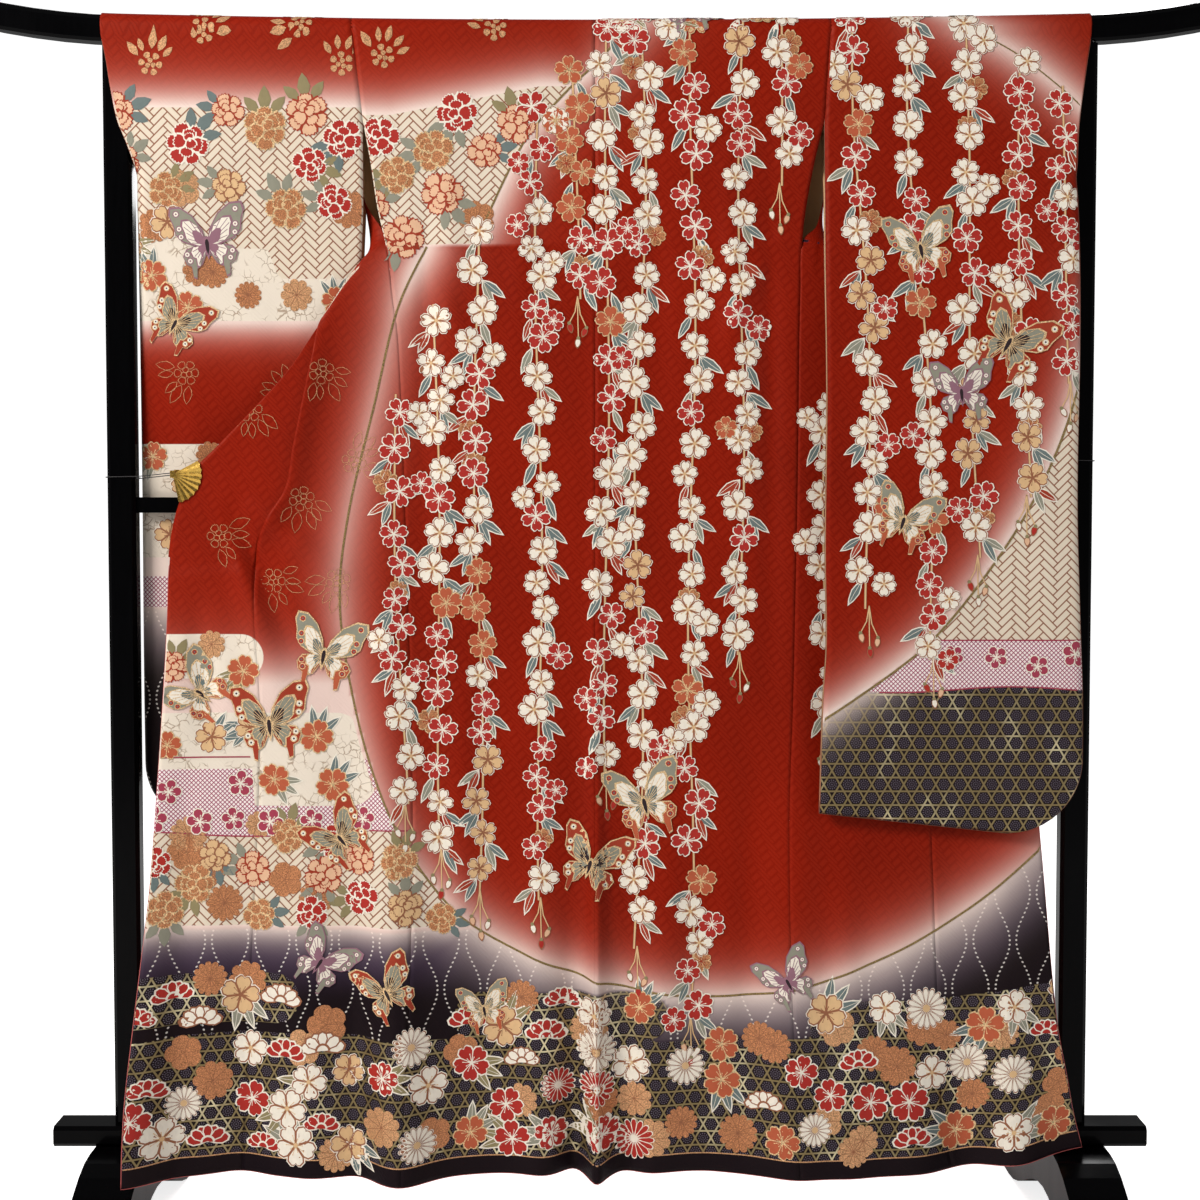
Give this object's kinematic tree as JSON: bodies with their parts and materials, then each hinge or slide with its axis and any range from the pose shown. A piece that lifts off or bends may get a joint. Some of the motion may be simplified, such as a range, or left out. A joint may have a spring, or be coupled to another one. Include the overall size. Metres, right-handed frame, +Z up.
{
  "type": "furisode kimono on a kimono stand",
  "caption": "Long-sleeved lined silk furisode hung back outwards over the round top rail of a black lacquered stand, one front drawn aside by a fan clip.",
  "frame": {"origin": "on the floor, under the middle of the stand", "axes": "+Z up, +X along the rail to the right of the side that shows the kimono's back, +Y away from that side"},
  "size_m": [1.78, 0.6, 1.6902],
  "materials": {
    "silk": "figured silk satin, vermilion red with pale and dark dyed grounds, gold outlines and woven pattern",
    "lacquer": "polished black lacquer on wood",
    "brass": "polished gilt brass",
    "cord": "thin black cord"
  },
  "bodies": {
    "root": {"top_rail": "lacquer", "post_left": "lacquer", "post_right": "lacquer", "mid_rail": "lacquer", "lower_rail": "lacquer", "foot_left": "lacquer", "foot_right": "lacquer", "back_left": "silk", "back_right": "silk", "front_left": "silk", "front_right": "silk", "overlap_left": "silk", "overlap_right": "silk", "collar_left": "silk", "collar_right": "silk", "collar_neck": "silk", "sleeve_left": "silk", "sleeve_right": "silk", "clip_left": "brass", "clip_right": "brass", "tie_left": "cord", "tie_right": "cord"}
  },
  "joints": []
}
